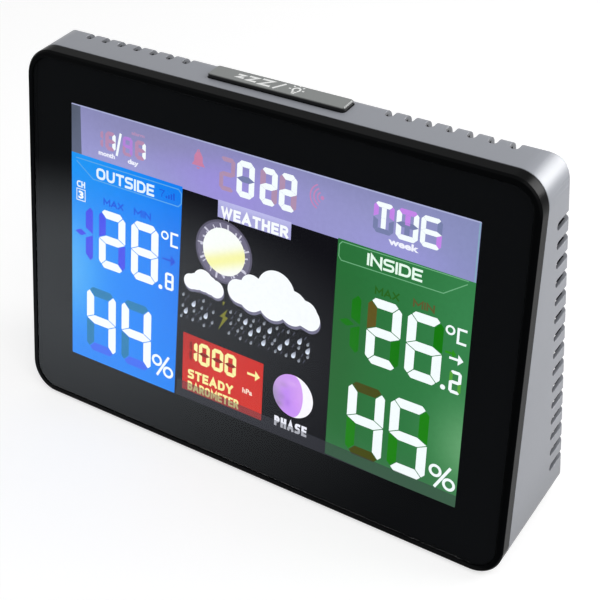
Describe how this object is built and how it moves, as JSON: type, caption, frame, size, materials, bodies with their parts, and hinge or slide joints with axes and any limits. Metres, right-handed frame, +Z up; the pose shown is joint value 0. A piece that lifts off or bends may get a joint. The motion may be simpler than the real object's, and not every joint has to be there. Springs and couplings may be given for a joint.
{
  "type": "weather station",
  "caption": "Leaning desk weather station: wedge housing with vent slots, flush front panel over a wide colour display, snooze bar on top, keys, battery door and power jack at the back.",
  "frame": {"origin": "on the table under the middle of the bounding box", "axes": "+X across to the viewer's right, +Y towards the back, +Z up"},
  "size_m": [0.2058, 0.0499, 0.1392],
  "materials": {
    "frame_black": "satin black ABS with a polished lip",
    "panel_black": "glossy clear panel printed black from behind round the picture",
    "lcd": "display glass with a lit colour picture",
    "sheet_white": "white film",
    "guide_clear": "clear acrylic",
    "strip_rubber": "zebra strip silicone",
    "led_white": "moulded lamp body",
    "board_green": "circuit board with green solder mask",
    "chip_black": "moulded epoxy",
    "radio_blue": "small blue circuit board",
    "wire_tin": "tinned wire",
    "sensor_white": "white louvred cap",
    "bar_grey": "dark grey plastic, satin",
    "case_grey": "grey ABS, fine spark texture",
    "key_grey": "dark grey plastic keys",
    "ribbon_grey": "flat flexible cable",
    "contact_nickel": "nickel plated spring steel",
    "cell_wrap": "printed film over a steel can",
    "jack_black": "black nylon jack",
    "lead_red": "insulated wire",
    "screw_zinc": "zinc plated steel",
    "foot_rubber": "black rubber, matt"
  },
  "bodies": {
    "housing": {"front_frame": "frame_black", "front_panel": "panel_black", "lcd_glass": "lcd", "diffuser_sheet": "sheet_white", "light_guide": "guide_clear", "reflector_sheet": "sheet_white", "display_tray": "sheet_white", "contact_strips": "strip_rubber", "backlight_leds": "led_white", "main_board": "board_green", "controller_chip": "chip_black", "radio_module": "radio_blue", "antenna": "wire_tin", "buzzer": "chip_black", "air_sensor": "sensor_white", "snooze_switch": "chip_black", "rear_housing": "case_grey", "key_board": "board_green", "key_switches": "chip_black", "key_ribbon": "ribbon_grey", "battery_springs": "contact_nickel", "battery_plates": "contact_nickel", "battery_upper": "cell_wrap", "battery_middle": "cell_wrap", "battery_lower": "cell_wrap", "power_jack": "jack_black", "supply_leads": "lead_red", "case_screws": "screw_zinc", "board_screws": "screw_zinc", "rubber_feet": "foot_rubber"},
    "snooze_bar": {"snooze_bar": "bar_grey"},
    "battery_door": {"battery_door": "case_grey"},
    "mode_key": {"mode_key": "key_grey"},
    "set_key": {"set_key": "key_grey"},
    "up_key": {"up_key": "key_grey"},
    "down_key": {"down_key": "key_grey"},
    "channel_key": {"channel_key": "key_grey"},
    "alarm_key": {"alarm_key": "key_grey"}
  },
  "joints": [
    {"name": "snooze_press", "type": "slide", "parent": "housing", "child": "snooze_bar", "axis": [0, 0, -1], "range_m": [0, 0.0012], "stiffness_N_per_m": 400},
    {"name": "mode_press", "type": "slide", "parent": "housing", "child": "mode_key", "axis": [0, -0.9999, -0.0138], "range_m": [0, 0.0007], "stiffness_N_per_m": 300},
    {"name": "set_press", "type": "slide", "parent": "housing", "child": "set_key", "axis": [0, -0.9999, -0.0138], "range_m": [0, 0.0007], "stiffness_N_per_m": 300},
    {"name": "up_press", "type": "slide", "parent": "housing", "child": "up_key", "axis": [0, -0.9999, -0.0138], "range_m": [0, 0.0007], "stiffness_N_per_m": 300},
    {"name": "down_press", "type": "slide", "parent": "housing", "child": "down_key", "axis": [0, -0.9999, -0.0138], "range_m": [0, 0.0007], "stiffness_N_per_m": 300},
    {"name": "channel_press", "type": "slide", "parent": "housing", "child": "channel_key", "axis": [0, -0.9999, -0.0138], "range_m": [0, 0.0007], "stiffness_N_per_m": 300},
    {"name": "alarm_press", "type": "slide", "parent": "housing", "child": "alarm_key", "axis": [0, -0.9999, -0.0138], "range_m": [0, 0.0007], "stiffness_N_per_m": 300},
    {"name": "door_hinge", "type": "hinge", "parent": "housing", "child": "battery_door", "pos_m": [0, 0.02352, 0.02098], "axis": [-1, 0, 0], "range_deg": [0, 95]}
  ]
}
